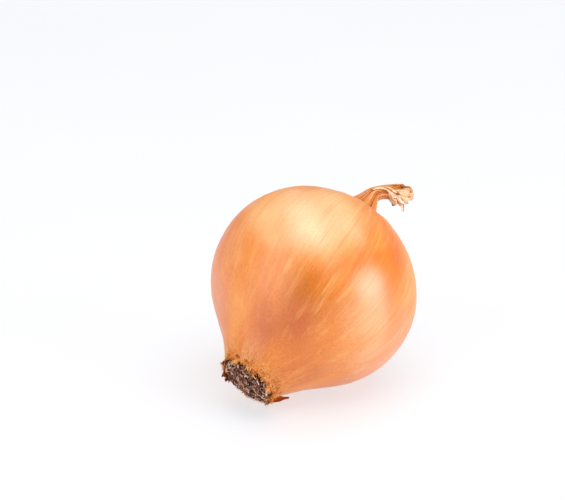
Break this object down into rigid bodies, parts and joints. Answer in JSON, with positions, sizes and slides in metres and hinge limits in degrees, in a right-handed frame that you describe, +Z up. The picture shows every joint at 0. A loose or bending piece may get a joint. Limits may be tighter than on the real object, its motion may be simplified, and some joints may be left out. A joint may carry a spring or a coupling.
{
  "type": "onion",
  "caption": "Whole brown onion in its dry papery skin, lying on its side, with a withered folded neck and a mat of dried roots.",
  "frame": {"origin": "centre of the small flat spot that the bulb rests on", "axes": "+Z up; the growth axis lies over the X axis, with the roots low at -X and the neck high at +X; +Y is to the left when looking along +X"},
  "size_m": [0.0974, 0.0786, 0.0759],
  "materials": {
    "skin": "dry papery onion skin, orange brown with fine lengthwise veins, satin sheen",
    "cork": "dry dark brown cork, matt",
    "fringe": "frayed dry skin, orange tan, matt",
    "roots": "dried wiry roots, grey brown to tan, matt",
    "neck_leaf": "withered leaf sheath, tan to brown, matt",
    "pale_leaf": "thin dry inner leaf, pale tan with a pinkish tint, matt",
    "loose_skin": "loose brown skin scale, dry, slightly glossy"
  },
  "bodies": {
    "root": {"bulb": "skin", "basal_plate": "cork", "skin_fringe": "fringe", "root_tuft": "roots", "outer_leaf_end": "neck_leaf", "inner_leaf_end": "pale_leaf", "trailing_scale": "loose_skin", "standing_scale": "loose_skin"}
  },
  "joints": []
}
